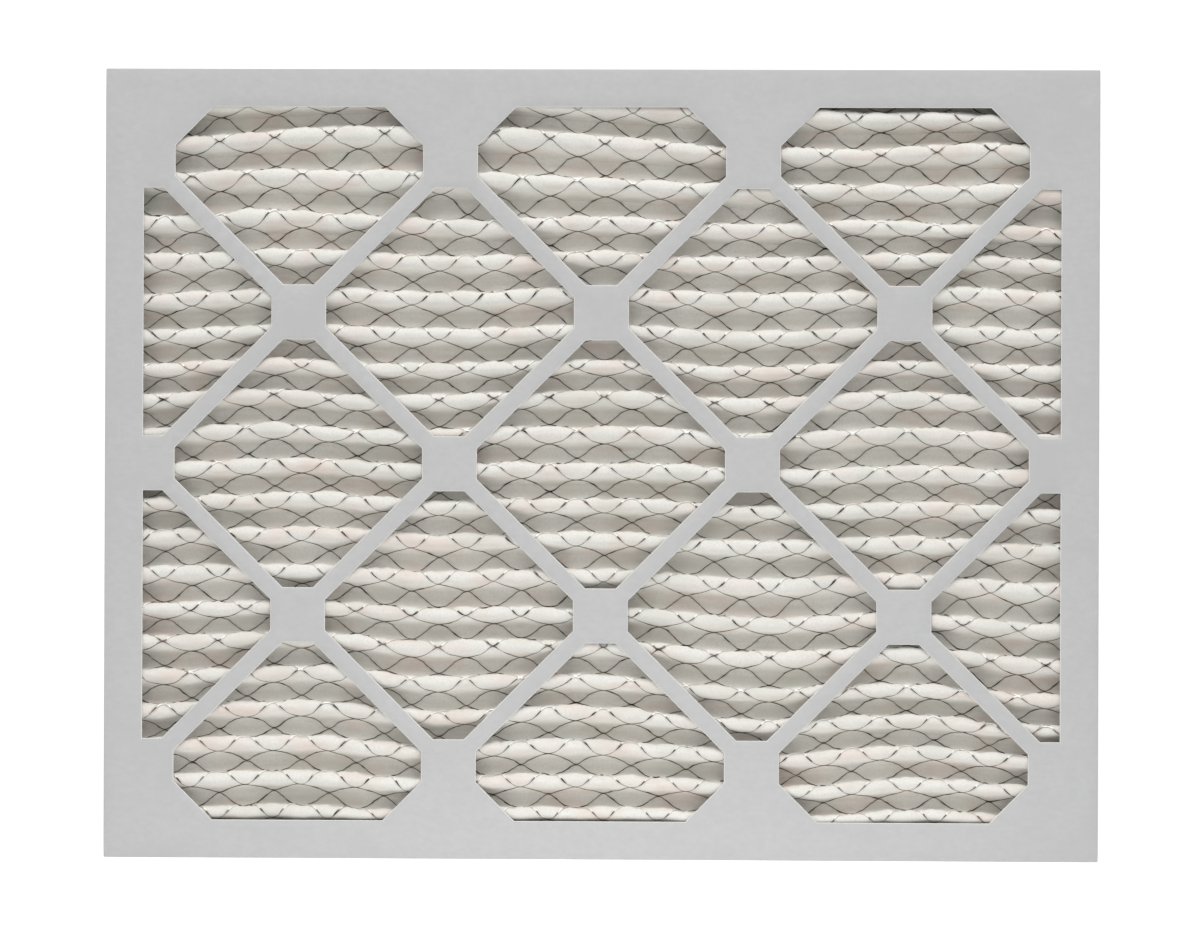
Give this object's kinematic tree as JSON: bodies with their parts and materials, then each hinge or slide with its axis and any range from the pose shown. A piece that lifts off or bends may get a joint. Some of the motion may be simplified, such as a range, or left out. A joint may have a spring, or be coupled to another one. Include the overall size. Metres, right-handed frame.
{
  "type": "pleated air filter",
  "caption": "Flat rectangular pleated panel filter: a paperboard frame with a diamond lattice on both faces holds a folded non-woven medium with a metal support grid.",
  "frame": {"origin": "centre of the bottom of the bounding box: the filter lies flat on its air-entering face", "axes": "+X along the long side and the pleats, +Y across the pleats towards their lean, +Z out of the air-leaving face"},
  "size_m": [0.4952, 0.3938, 0.0191],
  "materials": {
    "board": "matte grey paperboard",
    "media": "off-white non-woven",
    "grid": "dull galvanised"
  },
  "bodies": {
    "root": {"front_frame": "board", "back_frame": "board", "pleated_media": "media", "support_grid": "grid"}
  },
  "joints": []
}
